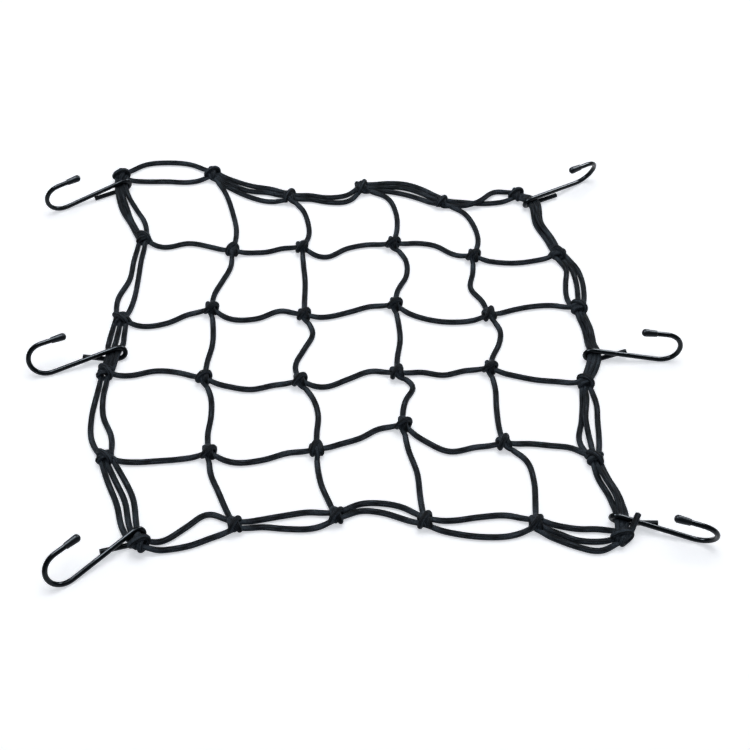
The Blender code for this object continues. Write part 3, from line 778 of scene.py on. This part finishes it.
def tie_knot(net, row, column, joins):
    """One knot: its own cord arrives, is tied round the cords that it holds, and leaves."""
    heading, roll, size = KNOT_LOOKS[row][column]
    heading = math.radians(heading)
    along = Vector((math.cos(heading), math.sin(heading), 0))
    across = Vector((-along.y, along.x, 0))
    border = row in (0, 5) or column in (0, 5)
    wide = BORDER_WIDE if border else KNOT_WIDE
    middle = knot_middle(row, column)
    middle.z += KNOT_HIGH * size + KNOT_CORD / 2 - KNOT_HEIGHT
    points = []
    for turn, place, over in HITCH:
        turn = math.radians(turn + roll)
        points.append(
            middle + along * place * size
            + across * (wide + over) * size * math.cos(turn)
            + Vector((0, 0, (KNOT_HIGH + over) * size * math.sin(turn)))
        )
    first = joins.get((row, column, "arrives"), middle + across * wide / 2)
    last = joins.get((row, column, "leaves"), middle - across * wide / 2)
    points = relaxed(Curve([first, *points, last]).even(KNOT_STEP), 1)
    for point in points:
        point.z = max(point.z, KNOT_CORD / 2)
    add_tube(net, points, CORD_SIDES, [KNOT_CORD / 2] * len(points))


def make_net(hooks, material):
    """The whole net from one size of cord."""
    net = bmesh.new()
    net.loops.layers.uv.new("cord")
    joins = lay_inner_cords(net)
    lay_border(net, hooks)
    lay_loose_end(net)
    for row in range(6):
        for column in range(6):
            tie_knot(net, row, column, joins)
    piece = finished(net, "cord_net", material, 60)
    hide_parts("net")
    return piece


# --------------------------------------------------------------- room

def make_board():
    """White board under the net.

    Its glow makes it pure white round the net's soft shadows, but is kept off the net,
    whose underside stays dark as in the photograph.
    """
    mesh = bmesh.new()
    bmesh.ops.create_grid(mesh, x_segments=1, y_segments=1, size=BOARD_HALF)
    board = add_object(mesh, "board", white_board())
    board.location.z = -BOARD_DROP
    board.visible_diffuse = False


def make_wall():
    """A pale wall all round, for low views only; it takes no part in the light."""
    material, _, shader = new_material("pale_wall")
    shader.inputs["Base Color"].default_value = linear("#000000")
    shader.inputs["Emission Color"].default_value = linear("#f4f7fb")
    shader.inputs["Emission Strength"].default_value = 0.9
    mesh = bmesh.new()
    bmesh.ops.create_uvsphere(mesh, u_segments=48, v_segments=24, radius=WALL_RADIUS)
    wall = add_object(mesh, "wall", material)
    wall.data.shade_smooth()
    wall.visible_diffuse = wall.visible_glossy = wall.visible_shadow = False


def make_light():
    """A large soft lamp overhead in an even white room, and two at the sides.

    The side lamps only add glints, most of all on the wires; no matt surface sees them.
    """
    world = bpy.data.worlds.new("white_room")
    world.use_nodes = True
    world.node_tree.nodes["Background"].inputs["Color"].default_value = linear("#f2f6fb")
    world.node_tree.nodes["Background"].inputs["Strength"].default_value = 0.22
    bpy.context.scene.world = world
    add_lamp("overhead", *OVERHEAD)
    for name, row in SIDE_LAMPS.items():
        add_lamp(name, *row).visible_diffuse = False
    bpy.context.scene.view_settings.view_transform = "Standard"
    bpy.context.scene.view_settings.look = "None"


def add_lamp(name, place, side, power):
    """A soft square light that faces the middle of the net."""
    data = bpy.data.lights.new(name, "AREA")
    data.shape = "SQUARE"
    data.size = side
    data.energy = power
    lamp = bpy.data.objects.new(name, data)
    lamp.location = place
    lamp.rotation_euler = Vector(place).to_track_quat("Z", "Y").to_euler()
    bpy.context.scene.collection.objects.link(lamp)
    return lamp


def make_camera():
    """Looks down at the net from in front, as the photograph was taken."""
    slope = math.radians(CAMERA_SLOPE)
    aim = Vector((CAMERA_AIM[0] - CENTRE[0], CAMERA_AIM[1] - CENTRE[1], 0))
    data = bpy.data.cameras.new("camera")
    data.lens = CAMERA_LENS
    data.sensor_width = 36.0
    camera = bpy.data.objects.new("camera", data)
    camera.location = (aim + Vector((0, -math.cos(slope), math.sin(slope))) * CAMERA_AWAY) * MM
    camera.rotation_euler = (math.pi / 2 - slope, 0, 0)
    bpy.context.scene.collection.objects.link(camera)
    bpy.context.scene.camera = camera


def main():
    """Makes the whole scene."""
    make_camera()
    make_board()
    make_wall()
    make_light()
    coat, plastic = dipped_wire(), soft_sleeve()
    hooks = {name: Hook(*row) for name, row in HOOKS.items()}
    net = make_net(hooks, braided_cord())
    for name, hook in hooks.items():
        wire = make_hook("wire_" + name, hook, coat)
        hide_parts("hook_" + name)
        tip = make_tip("sleeve_" + name, hook, plastic)
        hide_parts("tip_" + name)


main()
